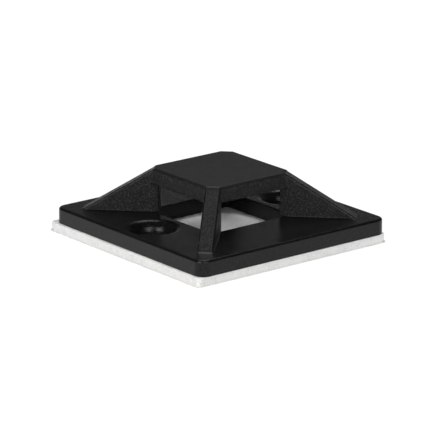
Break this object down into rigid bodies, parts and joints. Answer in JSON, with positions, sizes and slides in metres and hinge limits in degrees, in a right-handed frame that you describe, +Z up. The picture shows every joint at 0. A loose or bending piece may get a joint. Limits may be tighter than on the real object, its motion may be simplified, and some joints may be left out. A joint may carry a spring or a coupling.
{
  "type": "cable tie mount",
  "caption": "Square self-adhesive cable tie mount: a raised platform on diagonal corner webs lets a tie pass either way, with countersunk screw holes and a foam pad on its liner.",
  "frame": {"origin": "middle of the plate's plan, at the release liner's underside, where the mount lies on its surface", "axes": "+Z up out of the wall or panel the mount is fixed to; the two screw holes lie on the Y axis; +X is square to them"},
  "size_m": [0.0287, 0.0286, 0.0084],
  "materials": {
    "black_nylon": "black moulded nylon: fine spark-eroded grain on webs, skirt and crest lines, smoother on the plate's top and sides",
    "white_foam": "white closed-cell foam tape, matte, with cut cells showing on its edges",
    "liner_paper": "off-white silicone-coated release paper, soft sheen"
  },
  "bodies": {
    "root": {"mount_body": "black_nylon", "foam_pad": "white_foam", "release_liner": "liner_paper"}
  },
  "joints": []
}
